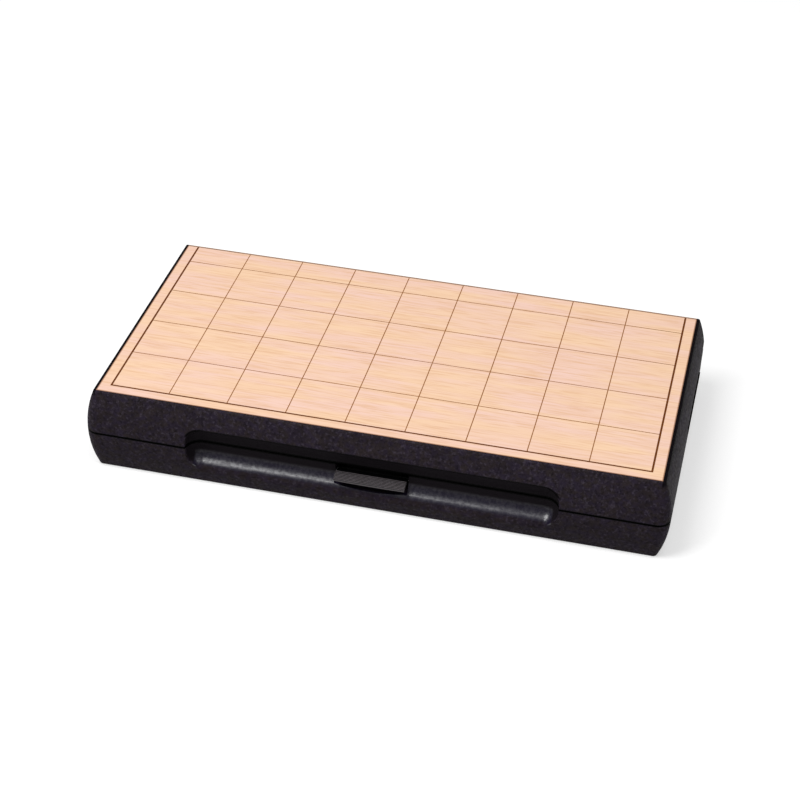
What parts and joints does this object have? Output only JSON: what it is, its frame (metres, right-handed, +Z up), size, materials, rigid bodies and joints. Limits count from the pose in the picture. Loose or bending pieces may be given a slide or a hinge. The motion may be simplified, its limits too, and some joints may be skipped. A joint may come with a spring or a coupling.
{
  "type": "folding shogi board",
  "caption": "Folding magnetic shogi board: two hollow half cases hinged at the back, half of the grid on each outer face, finger groove and latch in front, pieces in a foam tray inside.",
  "frame": {"origin": "middle of the box under the closed board, on the face it stands on", "axes": "+X along the board's length, to the right seen from the latch; +Y from the latch to the hinge; +Z up through the upper playing face"},
  "size_m": [0.2488, 0.1284, 0.0384],
  "materials": {
    "case_plastic": "black, fine moulded texture, satin",
    "latch_plastic": "dark grey, ribbed thumb pad",
    "wood_print": "pale wood grain print under a matt laminate",
    "brown_ink": "printed brown ink",
    "sheet_steel": "thin zinc-plated sheet",
    "pin_steel": "drawn wire",
    "black_foam": "closed-cell foam, cut pockets",
    "piece_plastic": "pale boxwood colour, satin",
    "magnet_ferrite": "sintered ferrite disc"
  },
  "bodies": {
    "base": {"lower_shell": "case_plastic", "lower_steel_plate": "sheet_steel", "lower_board_sheet": "wood_print", "lower_grid_print": "brown_ink", "hinge_pins": "pin_steel", "latch_pin": "pin_steel", "piece_tray": "black_foam", "kings": "piece_plastic", "rooks": "piece_plastic", "bishops": "piece_plastic", "gold_generals": "piece_plastic", "silver_generals": "piece_plastic", "knights": "piece_plastic", "lances": "piece_plastic", "pawns": "piece_plastic", "piece_magnets": "magnet_ferrite"},
    "lid": {"upper_shell": "case_plastic", "upper_steel_plate": "sheet_steel", "upper_board_sheet": "wood_print", "upper_grid_print": "brown_ink"},
    "latch": {"latch_lever": "latch_plastic"}
  },
  "joints": [
    {"name": "lid_hinge", "type": "hinge", "parent": "base", "child": "lid", "pos_m": [0, 0.06125, 0.0192], "axis": [-1, 0, 0], "range_deg": [0, 180]},
    {"name": "latch_rock", "type": "hinge", "parent": "base", "child": "latch", "pos_m": [0, -0.05405, 0.0137], "axis": [-1, 0, 0], "range_deg": [0, 10]}
  ]
}
